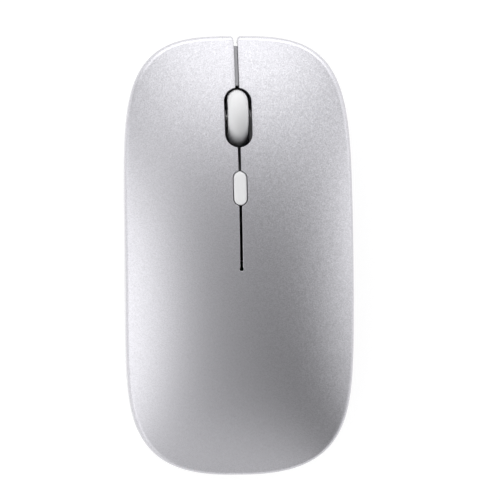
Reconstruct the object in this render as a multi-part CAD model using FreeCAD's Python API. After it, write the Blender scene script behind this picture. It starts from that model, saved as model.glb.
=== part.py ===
"""Slim wireless computer mouse with a one-piece flexing cover, in millimetres.

+Y is the front (the wheel end), +X the right-hand side and +Z up.  The origin lies
on the desk, under the middle of the outline.
"""
import FreeCAD, Part
import math
import os

V = FreeCAD.Vector

# --- outline and cover skin ---
LENGTH = 114.0
WIDTH = 58.9
HALF_L = LENGTH / 2
HALF_W = WIDTH / 2
FRONT_POWERS = (3.2, 5.2)       # superellipse powers across and along, ahead of the middle
REAR_POWERS = (2.6, 5.8)
CREST = (8.0, 17.8, 28.0, 26.0, 26.3, 10.0)     # heights that shape the centre line, front to rear
EDGE = (7.6, 13.0, 20.5, 20.5, 17.5, 9.7)       # the same for the skin at full half-width
SQUARE_SHARE = 0.55             # share of the cross fall that follows x^2; the rest follows x^4
WALL = 1.6
EDGE_ROLL = 1.9
PART_END = 5.0                  # height of the parting line at the two ends
PART_RISE = 3.5                 # how much higher it is at mid length
TOP = 40.0                      # above everything

# --- button split, slits and openings in the cover ---
FLEX_Y = 2.0
FLEX_GAP = 0.4
FRONT_SLIT = 1.0
REAR_SLIT = 0.75
RELIEF_Y = -3.25
RELIEF_D = 1.1
SLOT_W = 7.1
SLOT_L = 15.5
WHEEL_Y = 35.6
DPI_Y = 17.35
DPI_W = 3.35
DPI_L = 8.6
DPI_GAP = 0.25

# --- inside of the cover ---
COVER_BOSS_R = 2.5
NUB_R = 1.3                     # the nub under each button that presses its switch
NUB_GAP = 0.08
RIB_X = 9.0                     # stiffening rib under each button
RIB_T = 1.0
RIB_DEPTH = 1.2
RIB_Y = (10.0, 33.0)

# --- base ---
FOOT_T = 0.6
BASE_LIP = 0.6                  # base wall above the parting line
BASE_BOSS_R = 2.7
BOARD_POST_R = 1.8
PIVOT_POST = (1.9, 4.2)         # across and along
PIVOT_POST_X = 5.6
PORT_BLOCK_W = 12.8
NOSE_RIB_W = 3.0                # rib between the port and the cover's front end
NOSE_RIB_Y = 44.0
NOSE_BLADE_W = 0.8              # thin blade that stands up into the front slit
NOSE_BLADE_DEPTH = 1.15         # from the skin down to its top
FLOOR = FOOT_T + WALL
BASE_SECTIONS = ((FOOT_T, 7.0), (1.2, 5.6), (2.5, 4.2), (5.0, 2.8), (9.0, 2.0), (14.0, 2.0))   # height, inset
BASE_INNER = ((FLOOR, 6.4), (3.3, 5.4), (5.4, 4.3), (9.0, 3.6), (14.1, 3.6))

# --- wheel and its carrier ---
WHEEL_R = 7.3
WHEEL_W = 5.2
WHEEL_Z = 11.7
TREAD_CROWN = 1.9               # how much smaller the tread is at its two sides
HUB_R = 5.0
HUB_WEB_R = 4.3
HUB_BOSS_R = 2.2
SPOKES = 12
SPOKE_HOLE = (1.1, 2.7, 3.9)     # width, inner and outer distance from the axle
AXLE_R = 1.0
AXLE_L = 9.0
RUN_GAP = 0.05
CHEEK_IN = 3.0
CHEEK_OUT = 4.1
PIVOT_Y = 22.0
PIVOT_Z = 9.0
PIVOT_L = 14.4

# --- board and switches ---
BOARD_Z = 3.4
BOARD_T = 1.0
BOARD_TOP = BOARD_Z + BOARD_T
BOARD_INSET = 6.6
BOARD_REAR = -5.5
BOARD_FRONT = 48.5
SWITCH_X = 17.0
SWITCH_Y = 33.0
SWITCH_SIZE = (5.8, 12.8, 6.5)
SWITCH_PLUNGER_Z = 0.7
TACT_SIZE = 6.0
TACT_H = 3.5
WHEEL_SWITCH = (10.9, 33.0)
DPI_SWITCH = (0.0, 14.7)
IR_X = 9.4
IR_Y = 38.7
IR_Z = 9.4
PORT_W = 8.94
PORT_H = 3.2
PORT_D = 7.3
PORT_FRONT = 53.4
PORT_Z = 4.0
BATTERY = (28.0, 37.0, 5.0)
BATTERY_Y = -27.0
LEAD_X = 8.6
CASE_SCREWS = ((-17.5, -38.0), (17.5, -38.0), (-17.5, -2.0), (17.5, -2.0))
BOARD_SCREWS = ((-11.5, 46.0), (11.5, 46.0), (-19.5, 12.0), (19.5, 12.0))
CASE_SPLIT = 6.0                # where the base bosses meet the cover bosses
CASE_SCREW_R = 1.0
CASE_HEAD_R = 1.9
BOARD_SCREW_R = 0.8
CASE_HEAD_T = 1.3
BOARD_HEAD_R = 1.5
SLIDER_X = -11.0
SLIDER_Y = 6.0
SLIDER_SIZE = (4.6, 3.0)
SLIDER_TRAVEL = 2.6
SLIDER_SLOT = (7.6, 3.4, 0.6)   # across, along, corner radius
SENSOR_Y = 3.0
SENSOR_WINDOW = (7.4, 5.4, 1.5)
LABEL = (30.0, 12.0, 2.0)
LABEL_Y = -22.0
LABEL_GAP = 0.2
FRONT_FOOT = (30.0, 5.4, 41.0)  # across, along, y
REAR_FOOT = (41.0, 5.4, -38.0)
GUIDE_LEG_X = 8.9
GUIDE_LEG_Y = 12.0
GUIDE_LEG_R = 1.6
GUIDE_SIZE = (21.0, 13.0, 2.0)
GUIDE_Y = 13.5
GUIDE_Z = (15.6, 16.8)
STEM_W = 2.2                    # stem of the middle button
STEM_Y = (13.4, 18.6)
STEM_GAP = 0.1
CATCH = (5.4, 8.9)              # flange of the middle button, wider than its opening


def save(name, shape):
    """Write one node; several loose solids may share it."""
    shape.exportStep(os.path.join("parts", name + ".step"))


def join(first, *others):
    """Fuse the pieces one after another, which is steadier than all at once on curved walls."""
    for other in others:
        first = first.fuse(other)
    return first


def carve(shape, tools):
    for tool in tools:
        shape = shape.cut(tool)
    return shape


def box(x0, x1, y0, y1, z0, z1):
    return Part.makeBox(x1 - x0, y1 - y0, z1 - z0, V(x0, y0, z0))


def block(width, length, x, y, z0, z1):
    return box(x - width / 2, x + width / 2, y - length / 2, y + length / 2, z0, z1)


def post(radius, x, y, z0, z1):
    return Part.makeCylinder(radius, z1 - z0, V(x, y, z0))


def rod(radius, x0, x1, y, z):
    """Round bar that lies along X."""
    return Part.makeCylinder(radius, x1 - x0, V(x0, y, z), V(1, 0, 0))


def rounded(width, length, radius, x, y, z0, z1):
    """Plate with round corners; a radius of half the width makes a slot shape."""
    half_x = width / 2 - radius
    half_y = length / 2 - radius
    corners = []
    for step, (side, end) in enumerate(((1, 1), (-1, 1), (-1, -1), (1, -1))):
        centre = V(x + side * half_x, y + end * half_y, z0)
        turn = [math.radians(90 * step + part) for part in (0, 45, 90)]
        corners.append([centre + V(math.cos(a), math.sin(a), 0) * radius for a in turn])
    edges = []
    for step, arc in enumerate(corners):
        edges.append(Part.Arc(*arc).toShape())
        following = corners[(step + 1) % len(corners)][0]
        if arc[2].distanceToPoint(following) > 1e-6:
            edges.append(Part.makeLine(arc[2], following))
    return Part.Face(Part.Wire(edges)).extrude(V(0, 0, z1 - z0))


def along(heights, y):
    """Smooth height at y from shaping heights spread evenly from front to rear."""
    t = (HALF_L - y) / LENGTH
    n = len(heights) - 1
    return sum(math.comb(n, i) * t ** i * (1 - t) ** (n - i) * h for i, h in enumerate(heights))


def skin_z(x, y):
    """Height of the cover's outer skin."""
    u = abs(x) / HALF_W
    fall = SQUARE_SHARE * u ** 2 + (1 - SQUARE_SHARE) * u ** 4
    return along(CREST, y) - (along(CREST, y) - along(EDGE, y)) * fall


def outline_wire(inset, z):
    """Superellipse outline, drawn in by inset, as one closed smooth curve."""
    count = 48
    points = []
    for k in range(count):
        angle = 2 * math.pi * k / count
        across, lengthwise = FRONT_POWERS if math.sin(angle) >= 0 else REAR_POWERS
        c = abs(math.cos(angle))
        s = abs(math.sin(angle))
        low, high = 0.5, 2.0
        for _ in range(40):
            r = (low + high) / 2
            if (r * c) ** across + (r * s) ** lengthwise > 1:
                high = r
            else:
                low = r
        points.append(V((HALF_W - inset) * r * math.cos(angle), (HALF_L - inset) * r * math.sin(angle), z))
    curve = Part.BSplineCurve()
    curve.interpolate(Points=points, PeriodicFlag=True)
    return Part.Wire(curve.toShape())


def outline_slab(inset, z0, z1):
    return Part.Face(outline_wire(inset, z0)).extrude(V(0, 0, z1 - z0))


def skin_face():
    """The outer skin carried a little past the outline on every side."""
    across = [HALF_W * 1.1 * k / 6 for k in range(-6, 7)]
    lengthwise = [HALF_L * 1.05 * k / 10 for k in range(-10, 11)]
    surface = Part.BSplineSurface()
    surface.interpolate([[V(x, y, skin_z(x, y)) for y in lengthwise] for x in across])
    return surface.toShape()


SKIN = skin_face()


def under_skin(depth):
    """Everything from depth below the skin down to well under the desk."""
    face = SKIN.copy()
    face.translate(V(0, 0, -depth))
    return face.extrude(V(0, 0, -60))


def parting_z(y):
    return PART_END + PART_RISE * (1 - (y / HALF_L) ** 2)


def under_parting(lift):
    """Everything below the arched parting line, raised by lift."""
    count = 12
    reach = HALF_L + 2
    ys = [-reach + 2 * reach * k / count for k in range(count + 1)]
    curve = Part.BSplineCurve()
    curve.interpolate([V(-TOP, y, parting_z(y) + lift) for y in ys])
    arch = curve.toShape()
    low = [V(-TOP, reach, -1), V(-TOP, -reach, -1)]
    ends = arch.valueAt(arch.LastParameter), arch.valueAt(arch.FirstParameter)
    edges = [arch, Part.makeLine(ends[0], low[0])]
    edges += [Part.makeLine(low[0], low[1]), Part.makeLine(low[1], ends[1])]
    return Part.Face(Part.Wire(edges)).extrude(V(2 * TOP, 0, 0))


def cover_shell():
    """The whole one-piece cover, before it is slit."""
    solid = outline_slab(0, -1, TOP).common(under_skin(0))
    rim = [e for e in solid.Edges if e.BoundBox.ZMax > PART_END + 1 and e.BoundBox.XLength > HALF_W]
    solid = solid.makeFillet(EDGE_ROLL, rim)
    hollow = outline_slab(WALL, -2, TOP).common(under_skin(WALL))
    return solid.cut(hollow).cut(under_parting(0))


def cover_openings():
    """Wheel slot, button slot, slits and relief hole in one cutting tool."""
    front = box(-FRONT_SLIT / 2, FRONT_SLIT / 2, WHEEL_Y, HALF_L + 2, -1, TOP)
    rear = box(-REAR_SLIT / 2, REAR_SLIT / 2, RELIEF_Y, WHEEL_Y, -1, TOP)
    slot = rounded(SLOT_W, SLOT_L, SLOT_W / 2, 0, WHEEL_Y, -1, TOP)
    opening_w = DPI_W + 2 * DPI_GAP
    dpi = rounded(opening_w, DPI_L + 2 * DPI_GAP, opening_w / 2, 0, DPI_Y, -1, TOP)
    relief = post(RELIEF_D / 2, 0, RELIEF_Y, -1, TOP)
    return join(front, rear, slot, dpi, relief)


def cover_pieces():
    """Split the slit cover into the palm piece and two buttons, and add their bosses and nubs."""
    cover = cover_shell().cut(cover_openings())
    palm = cover.common(box(-TOP, TOP, -HALF_L - 1, FLEX_Y - FLEX_GAP / 2, -1, TOP))
    for x, y in CASE_SCREWS:
        boss = post(COVER_BOSS_R, x, y, CASE_SPLIT, TOP).common(under_skin(WALL / 2))
        palm = palm.fuse(boss).cut(post(CASE_SCREW_R + 0.02, x, y, 0, CASE_SPLIT + 5.0))
    save("palm_cover", palm)
    plunger_top = BOARD_TOP + SWITCH_SIZE[2] + SWITCH_PLUNGER_Z
    for name, side in (("left_button", -1), ("right_button", 1)):
        edges = sorted((0, side * TOP))
        half = cover.common(box(edges[0], edges[1], FLEX_Y + FLEX_GAP / 2, HALF_L + 1, -1, TOP))
        nub = post(NUB_R, side * SWITCH_X, SWITCH_Y, plunger_top + NUB_GAP, TOP).common(under_skin(WALL / 2))
        rib = box(side * RIB_X - RIB_T / 2, side * RIB_X + RIB_T / 2, *RIB_Y, 0, TOP)
        rib = rib.common(under_skin(WALL / 2)).cut(under_skin(WALL + RIB_DEPTH))
        save(name, join(half, nub, rib))


def base_shell():
    """Tapered tray with bosses for the case screws, board posts, pivot posts and port housing."""
    outer = Part.makeLoft([outline_wire(inset, z) for z, inset in BASE_SECTIONS], True, True)
    inner = Part.makeLoft([outline_wire(inset, z) for z, inset in BASE_INNER], True, True)
    base = outer.cut(inner).common(under_parting(BASE_LIP))
    adds = [post(BASE_BOSS_R, x, y, FOOT_T, CASE_SPLIT - 0.05) for x, y in CASE_SCREWS]
    adds += [post(BOARD_POST_R, x, y, FOOT_T, BOARD_Z) for x, y in BOARD_SCREWS]
    adds += [block(*PIVOT_POST, side * PIVOT_POST_X, PIVOT_Y, FOOT_T, PIVOT_Z + 2.0) for side in (-1, 1)]
    port_top = PORT_Z + PORT_H / 2
    port_rear = PORT_FRONT - PORT_D
    adds.append(box(-PORT_BLOCK_W / 2, PORT_BLOCK_W / 2, port_rear - 1.0, PORT_FRONT, FOOT_T, port_top + 0.7))
    rib = box(-NOSE_RIB_W / 2, NOSE_RIB_W / 2, NOSE_RIB_Y, PORT_FRONT + 1.0, port_top + 0.3, TOP)
    adds.append(rib.common(under_skin(WALL + 1.0)))
    blade = box(-NOSE_BLADE_W / 2, NOSE_BLADE_W / 2, NOSE_RIB_Y, PORT_FRONT + 1.0, port_top + 0.3, TOP)
    adds.append(blade.common(under_skin(NOSE_BLADE_DEPTH)))
    base = join(base, *adds)
    cuts = [rod(AXLE_R + RUN_GAP, -9, 9, PIVOT_Y, PIVOT_Z)]
    cuts.append(port_shape(0.05, port_rear, HALF_L))
    cuts.append(box(-7, 7, port_rear - 2, BOARD_FRONT + 0.1, BOARD_Z - 0.05, BOARD_TOP + 0.05))
    for x, y in CASE_SCREWS:
        cuts.append(post(CASE_SCREW_R + 0.15, x, y, 0, CASE_SPLIT))
        cuts.append(post(CASE_HEAD_R + 0.2, x, y, 0, FOOT_T + CASE_HEAD_T + 0.3))
    cuts += [post(BOARD_SCREW_R + 0.02, x, y, FOOT_T + 0.9, BOARD_Z) for x, y in BOARD_SCREWS]
    cuts.append(rounded(*SLIDER_SLOT, SLIDER_X, SLIDER_Y, 0, FLOOR + 0.1))
    cuts.append(rounded(*SENSOR_WINDOW, 0, SENSOR_Y, 0, FLOOR + 0.1))
    width, length, radius = LABEL
    grow = 2 * LABEL_GAP
    cuts.append(rounded(width + grow, length + grow, radius + LABEL_GAP, 0, LABEL_Y, 0, FOOT_T + 0.3))
    save("base_shell", carve(base, cuts))


def port_shape(margin, y0, y1):
    """Rounded bar along Y with the outline of the port shell, grown by margin."""
    height = PORT_H + 2 * margin
    bar = rounded(PORT_W + 2 * margin, height, height / 2 - 0.01, 0, 0, 0, y1 - y0)
    bar.rotate(V(0, 0, 0), V(1, 0, 0), 90)
    bar.translate(V(0, y1, PORT_Z))
    return bar


def charging_port():
    wall = 0.3
    shell = port_shape(0, PORT_FRONT - PORT_D, PORT_FRONT)
    hollow = port_shape(-wall, PORT_FRONT - PORT_D + 0.8, PORT_FRONT + 1)
    save("charging_port", shell.cut(hollow))
    save("port_tongue", block(6.7, 5.4, 0, PORT_FRONT - PORT_D + 0.8 + 2.7, PORT_Z - 0.35, PORT_Z + 0.35))


def wheel():
    """Crowned tyre on a spoked hub, turning with a steel axle."""
    half = WHEEL_W / 2
    side_r = WHEEL_R - TREAD_CROWN
    profile = [V(-half, HUB_R, 0), V(-half, side_r, 0), V(0, WHEEL_R, 0)]
    profile += [V(half, side_r, 0), V(half, HUB_R, 0)]
    edges = [Part.makeLine(profile[0], profile[1]), Part.Arc(profile[1], profile[2], profile[3]).toShape()]
    edges += [Part.makeLine(profile[3], profile[4]), Part.makeLine(profile[4], profile[0])]
    tyre = Part.Face(Part.Wire(edges)).revolve(V(0, 0, 0), V(1, 0, 0), 360)
    tyre.translate(V(0, WHEEL_Y, WHEEL_Z))
    save("wheel_tyre", tyre)
    hub = rod(HUB_R, -half, half, WHEEL_Y, WHEEL_Z)
    for side in (-1, 1):
        edges = sorted((side * 0.7, side * (half + 1)))
        ring = rod(HUB_WEB_R, edges[0], edges[1], WHEEL_Y, WHEEL_Z)
        hub = hub.cut(ring.cut(rod(HUB_BOSS_R, edges[0], edges[1], WHEEL_Y, WHEEL_Z)))
    slots = []
    for k in range(SPOKES):
        angle = 360 * (k + 0.5) / SPOKES
        slot = block(4.0, SPOKE_HOLE[0], 0, 0, *SPOKE_HOLE[1:])
        slot.rotate(V(0, 0, 0), V(1, 0, 0), angle)
        slot.translate(V(0, WHEEL_Y, WHEEL_Z))
        slots.append(slot)
    bore = rod(AXLE_R, -half - 1, half + 1, WHEEL_Y, WHEEL_Z)
    save("wheel_hub", hub.cut(Part.makeCompound(slots + [bore])))
    save("wheel_axle", rod(AXLE_R, -AXLE_L / 2, AXLE_L / 2, WHEEL_Y, WHEEL_Z))


def wheel_carrier():
    """Two cheeks joined behind the wheel, with a lug over the wheel switch."""
    cheeks = []
    for side in (-1, 1):
        x0, x1 = sorted((side * CHEEK_IN, side * CHEEK_OUT))
        corners = [(PIVOT_Y, PIVOT_Z - 1.9), (WHEEL_Y, WHEEL_Z - 2.2), (WHEEL_Y, WHEEL_Z + 2.2)]
        corners.append((PIVOT_Y, PIVOT_Z + 1.9))
        loop = [V(x0, y, z) for y, z in corners + corners[:1]]
        arm = Part.Face(Part.makePolygon(loop)).extrude(V(x1 - x0, 0, 0))
        cheeks += [arm, rod(2.2, x0, x1, WHEEL_Y, WHEEL_Z), rod(1.9, x0, x1, PIVOT_Y, PIVOT_Z)]
    bridge = box(-CHEEK_OUT, CHEEK_OUT, PIVOT_Y - 1.9, PIVOT_Y + 1.9, PIVOT_Z - 1.2, PIVOT_Z + 1.9)
    lug_z = BOARD_TOP + TACT_H + 0.6
    switch_x, switch_y = WHEEL_SWITCH
    lug = box(CHEEK_OUT - 0.5, switch_x + 1.5, switch_y - 1.5, switch_y + 1.5, lug_z, lug_z + 1.6)
    carrier = join(bridge, lug, *cheeks)
    bores = [rod(AXLE_R + RUN_GAP, -9, 9, WHEEL_Y, WHEEL_Z), rod(AXLE_R, -9, 9, PIVOT_Y, PIVOT_Z)]
    save("wheel_carrier", carrier.cut(Part.makeCompound(bores)))
    save("carrier_pin", rod(AXLE_R, -PIVOT_L / 2, PIVOT_L / 2, PIVOT_Y, PIVOT_Z))


def dpi_button():
    """Slot-shaped cap that follows the skin, with a catch flange and a stem down to its switch."""
    cap = rounded(DPI_W, DPI_L, DPI_W / 2, 0, DPI_Y, 0, TOP)
    cap = cap.common(under_skin(0)).cut(under_skin(WALL + 1.4))
    flange = block(*CATCH, 0, DPI_Y, 0, TOP)
    flange = flange.common(under_skin(WALL + 0.5)).cut(under_skin(WALL + 1.3))
    stem_z = BOARD_TOP + TACT_H + 2.6
    stem = box(-STEM_W / 2, STEM_W / 2, *STEM_Y, stem_z, TOP).common(under_skin(WALL + 0.8))
    save("dpi_button", join(cap, flange, stem))


def dpi_guide():
    """Bridge plate on two legs that keeps the stem of the middle button upright."""
    plate = rounded(*GUIDE_SIZE, 0, GUIDE_Y, *GUIDE_Z)
    legs = [post(GUIDE_LEG_R, side * GUIDE_LEG_X, GUIDE_LEG_Y, FLOOR, GUIDE_Z[0] + 0.4) for side in (-1, 1)]
    half_w = STEM_W / 2 + STEM_GAP
    gate = box(-half_w, half_w, STEM_Y[0] - STEM_GAP, STEM_Y[1] + STEM_GAP, 0, TOP)
    save("dpi_guide", join(plate, *legs).cut(gate))


def click_switch(name, side):
    """Sub-miniature snap switch under one main button."""
    width, length, height = SWITCH_SIZE
    top = BOARD_TOP + height
    body = block(width, length, side * SWITCH_X, SWITCH_Y, BOARD_TOP, top)
    body = body.makeFillet(0.4, [e for e in body.Edges if e.BoundBox.ZLength > height / 2])
    pocket = block(1.34, 3.04, side * SWITCH_X, SWITCH_Y, top - 1.5, top + 1)
    save(name + "_switch_body", body.cut(pocket))
    plunger = block(1.2, 2.9, side * SWITCH_X, SWITCH_Y, top - 0.8, top + SWITCH_PLUNGER_Z)
    save(name + "_switch_plunger", plunger)


def tact_switch(name, place, height_above):
    """Square push switch with a round plunger."""
    x, y = place
    top = BOARD_TOP + TACT_H
    body = block(TACT_SIZE, TACT_SIZE, x, y, BOARD_TOP, top).cut(post(1.75, x, y, top - 1.4, top + 1))
    save(name + "_switch_body", body)
    save(name + "_switch_plunger", post(1.65, x, y, top - 0.7, top + height_above))


def main_board():
    board = outline_slab(BOARD_INSET, BOARD_Z, BOARD_TOP)
    board = board.common(box(-TOP, TOP, BOARD_REAR, BOARD_FRONT, 0, TOP))
    cuts = [rounded(15.2, 28.0, 1.5, 0, 31.6, 0, TOP)]
    cuts.append(block(PORT_W + 0.2, 6.0, 0, BOARD_FRONT, 0, TOP))
    cuts.append(block(10.4, 9.4, 0, SENSOR_Y, 0, TOP))
    cuts += [post(3.0, x, y, 0, TOP) for x, y in CASE_SCREWS]
    cuts += [post(BOARD_SCREW_R + 0.1, x, y, 0, TOP) for x, y in BOARD_SCREWS]
    cuts += [post(GUIDE_LEG_R + 0.2, side * GUIDE_LEG_X, GUIDE_LEG_Y, 0, TOP) for side in (-1, 1)]
    save("main_board", board.cut(Part.makeCompound(cuts)))
    save("mcu_chip", block(6.0, 6.0, 13.5, 20.0, BOARD_TOP, BOARD_TOP + 0.9))
    save("crystal", rounded(2.5, 3.2, 0.4, 10.6, 26.6, BOARD_TOP, BOARD_TOP + 0.7))
    chips = [block(0.8, 1.6, -16 + 1.9 * k, 24.0, BOARD_TOP, BOARD_TOP + 0.5) for k in range(4)]
    chips += [block(1.6, 0.8, 10.0, 4.0 + 1.7 * k, BOARD_TOP, BOARD_TOP + 0.5) for k in range(4)]
    chips += [block(3.0, 1.7, -14.0, 19.0 + 2.4 * k, BOARD_TOP, BOARD_TOP + 1.1) for k in range(2)]
    save("board_parts", Part.makeCompound(chips))
    for name, side in (("ir_emitter", 1), ("ir_detector", -1)):
        body = block(2.2, 4.0, side * IR_X, IR_Y, BOARD_TOP, IR_Z + 1.6)
        x0, x1 = sorted((side * (IR_X - 2.0), side * IR_X))
        save(name, join(body, rod(1.1, x0, x1, IR_Y, IR_Z)))


def sensor():
    """Motion sensor in the board window over a clear lens in the floor."""
    save("sensor_chip", block(9.8, 8.8, 0, SENSOR_Y, FLOOR + 0.7, FLOOR + 3.6))
    flange = block(9.8, 8.0, 0, SENSOR_Y, FLOOR, FLOOR + 0.7)
    window = rounded(7.0, 5.0, 1.3, 0, SENSOR_Y, FOOT_T + 0.5, FLOOR)
    save("sensor_lens", join(flange, window).cut(post(1.4, 0, SENSOR_Y, 0, FOOT_T + 1.1)))


def battery():
    width, length, height = BATTERY
    z0 = FLOOR + 0.1
    pouch = block(width, length, 0, BATTERY_Y, z0, z0 + height)
    save("battery_cell", pouch.makeFillet(1.4, [e for e in pouch.Edges if e.BoundBox.YLength > length / 2]))
    save("battery_header", block(6.0, 3.4, LEAD_X, -2.8, BOARD_TOP, BOARD_TOP + 3.0))
    save("battery_plug", block(4.8, 1.6, LEAD_X, -5.3, BOARD_TOP + 0.3, BOARD_TOP + 2.6))
    rear = BATTERY_Y + length / 2
    leads = []
    for x in (LEAD_X - 0.8, LEAD_X + 0.8):
        leads.append(Part.makeCylinder(0.5, -6.1 - rear, V(x, rear, BOARD_TOP + 1.4), V(0, 1, 0)))
    save("battery_leads", Part.makeCompound(leads))


def power_switch():
    save("power_switch_body", block(9.0, 4.0, SLIDER_X, SLIDER_Y, FLOOR + 0.05, BOARD_Z))
    rest_x = SLIDER_X - SLIDER_TRAVEL / 2
    slider = rounded(*SLIDER_SIZE, 0.5, rest_x, SLIDER_Y, FOOT_T + 0.35, FLOOR)
    grooves = [block(0.35, 2.4, rest_x + 0.9 * k, SLIDER_Y, 0, FOOT_T + 0.6) for k in (-1, 0, 1)]
    save("power_slider", slider.cut(Part.makeCompound(grooves)))


def feet_and_label():
    for name, (width, length, y) in (("front_foot", FRONT_FOOT), ("rear_foot", REAR_FOOT)):
        save(name, rounded(width, length, length / 2, 0, y, 0, FOOT_T))
    save("label_plate", rounded(*LABEL, 0, LABEL_Y, FOOT_T + 0.05, FOOT_T + 0.3))


def cross_recess(x, y, z0, depth, reach):
    return join(block(2 * reach, 0.4, x, y, z0, z0 + depth), block(0.4, 2 * reach, x, y, z0, z0 + depth))


def screws():
    case = []
    for x, y in CASE_SCREWS:
        head_z = FOOT_T + 0.3
        head = post(CASE_HEAD_R, x, y, head_z, head_z + CASE_HEAD_T)
        shank = post(CASE_SCREW_R, x, y, head_z + CASE_HEAD_T, CASE_SPLIT + 4.6)
        case.append(join(head, shank).cut(cross_recess(x, y, head_z, 0.8, 1.1)))
    save("case_screws", Part.makeCompound(case))
    board = []
    for x, y in BOARD_SCREWS:
        head = post(BOARD_HEAD_R, x, y, BOARD_TOP, BOARD_TOP + 0.8)
        shank = post(BOARD_SCREW_R, x, y, FOOT_T + 1.0, BOARD_TOP)
        board.append(join(head, shank).cut(cross_recess(x, y, BOARD_TOP + 0.4, 0.5, 0.9)))
    save("board_screws", Part.makeCompound(board))


os.makedirs("parts", exist_ok=True)
cover_pieces()
base_shell()
charging_port()
wheel()
wheel_carrier()
dpi_button()
dpi_guide()
click_switch("left", -1)
click_switch("right", 1)
tact_switch("wheel", WHEEL_SWITCH, 0.5)
tact_switch("dpi", DPI_SWITCH, 2.5)
main_board()
sensor()
battery()
power_switch()
feet_and_label()
screws()
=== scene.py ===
import math

import bmesh
import bpy
from mathutils import Matrix, Vector
from mathutils.geometry import delaunay_2d_cdt


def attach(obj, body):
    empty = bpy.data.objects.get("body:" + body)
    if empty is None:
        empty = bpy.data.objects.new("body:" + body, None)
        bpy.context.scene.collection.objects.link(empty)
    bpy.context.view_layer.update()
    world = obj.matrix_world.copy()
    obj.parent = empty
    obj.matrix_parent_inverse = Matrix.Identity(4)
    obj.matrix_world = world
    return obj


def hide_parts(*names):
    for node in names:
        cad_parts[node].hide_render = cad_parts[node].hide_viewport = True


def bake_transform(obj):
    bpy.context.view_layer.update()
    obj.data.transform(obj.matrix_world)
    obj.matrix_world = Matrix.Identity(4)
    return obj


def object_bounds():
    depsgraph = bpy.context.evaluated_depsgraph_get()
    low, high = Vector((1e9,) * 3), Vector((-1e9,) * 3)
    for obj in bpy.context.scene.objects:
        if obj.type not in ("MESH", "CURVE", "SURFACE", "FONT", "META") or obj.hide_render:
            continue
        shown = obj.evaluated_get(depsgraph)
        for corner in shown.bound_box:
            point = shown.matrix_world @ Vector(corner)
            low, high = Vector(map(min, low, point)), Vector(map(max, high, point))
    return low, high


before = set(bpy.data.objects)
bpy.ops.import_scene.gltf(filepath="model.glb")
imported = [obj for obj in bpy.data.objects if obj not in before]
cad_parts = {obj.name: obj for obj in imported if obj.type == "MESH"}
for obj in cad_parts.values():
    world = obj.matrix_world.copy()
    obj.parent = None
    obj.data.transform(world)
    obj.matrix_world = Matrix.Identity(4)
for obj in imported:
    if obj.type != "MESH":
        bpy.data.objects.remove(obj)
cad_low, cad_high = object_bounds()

MM = 0.001


# --- Floor: a pale studio table that the mouse stands on -------------------------------------
# It glows a little, as an overlit sweep does, so the mouse casts only a faint shade on it.

def new_material(name):
    """A material with a Principled surface; returns the material, its node tree and the shader."""
    material = bpy.data.materials.new(name)
    material.use_nodes = True
    tree = material.node_tree
    return material, tree, tree.nodes["Principled BSDF"]


def make_mesh(name, points, faces, material, normals=None):
    """A smooth-shaded object at the origin; points are in millimetres."""
    mesh = bpy.data.meshes.new(name)
    mesh.from_pydata([Vector(p) * MM for p in points], [], faces)
    mesh.polygons.foreach_set("use_smooth", [True] * len(mesh.polygons))
    mesh.materials.append(material)
    if normals:
        mesh.normals_split_custom_set_from_vertices(normals)
    piece = bpy.data.objects.new(name, mesh)
    bpy.context.scene.collection.objects.link(piece)
    return piece


def studio_floor():
    """One wide pale sheet with an even glow."""
    half = 1500
    material, _, shader = new_material("pale_table")
    shader.inputs["Base Color"].default_value = (0.30, 0.30, 0.30, 1)
    shader.inputs["Roughness"].default_value = 0.7
    shader.inputs["Emission Color"].default_value = (1, 1, 1, 1)
    shader.inputs["Emission Strength"].default_value = 0.8
    corners = [(-half, -half, 0), (half, -half, 0), (half, half, 0), (-half, half, 0)]
    return make_mesh("table", corners, [(0, 1, 2, 3)], material)


studio_floor()


# --- Light: a soft tent around the table ------------------------------------------------------
# Its walls glow on the left and in front, less on the right; overhead and behind it is dim, so
# the crown of the cover stays darker than its sides. They fade towards the table.

SKY_STRENGTH = 1.5
LOW_SHARE = 0.25
FADE_HEIGHT = 0.4


def sky_glow(tree, way, towards, start, end, height):
    """Glow that rises smoothly from 0 to height as a sky direction turns towards a given one."""
    along_it = tree.nodes.new("ShaderNodeVectorMath")
    along_it.operation = "DOT_PRODUCT"
    along_it.inputs[1].default_value = Vector(towards).normalized()
    tree.links.new(way, along_it.inputs[0])
    rise = tree.nodes.new("ShaderNodeMapRange")
    rise.interpolation_type = "SMOOTHSTEP"
    rise.inputs["From Min"].default_value = start
    rise.inputs["From Max"].default_value = end
    rise.inputs["To Max"].default_value = height
    tree.links.new(along_it.outputs["Value"], rise.inputs["Value"])
    return rise.outputs["Result"]


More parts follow.
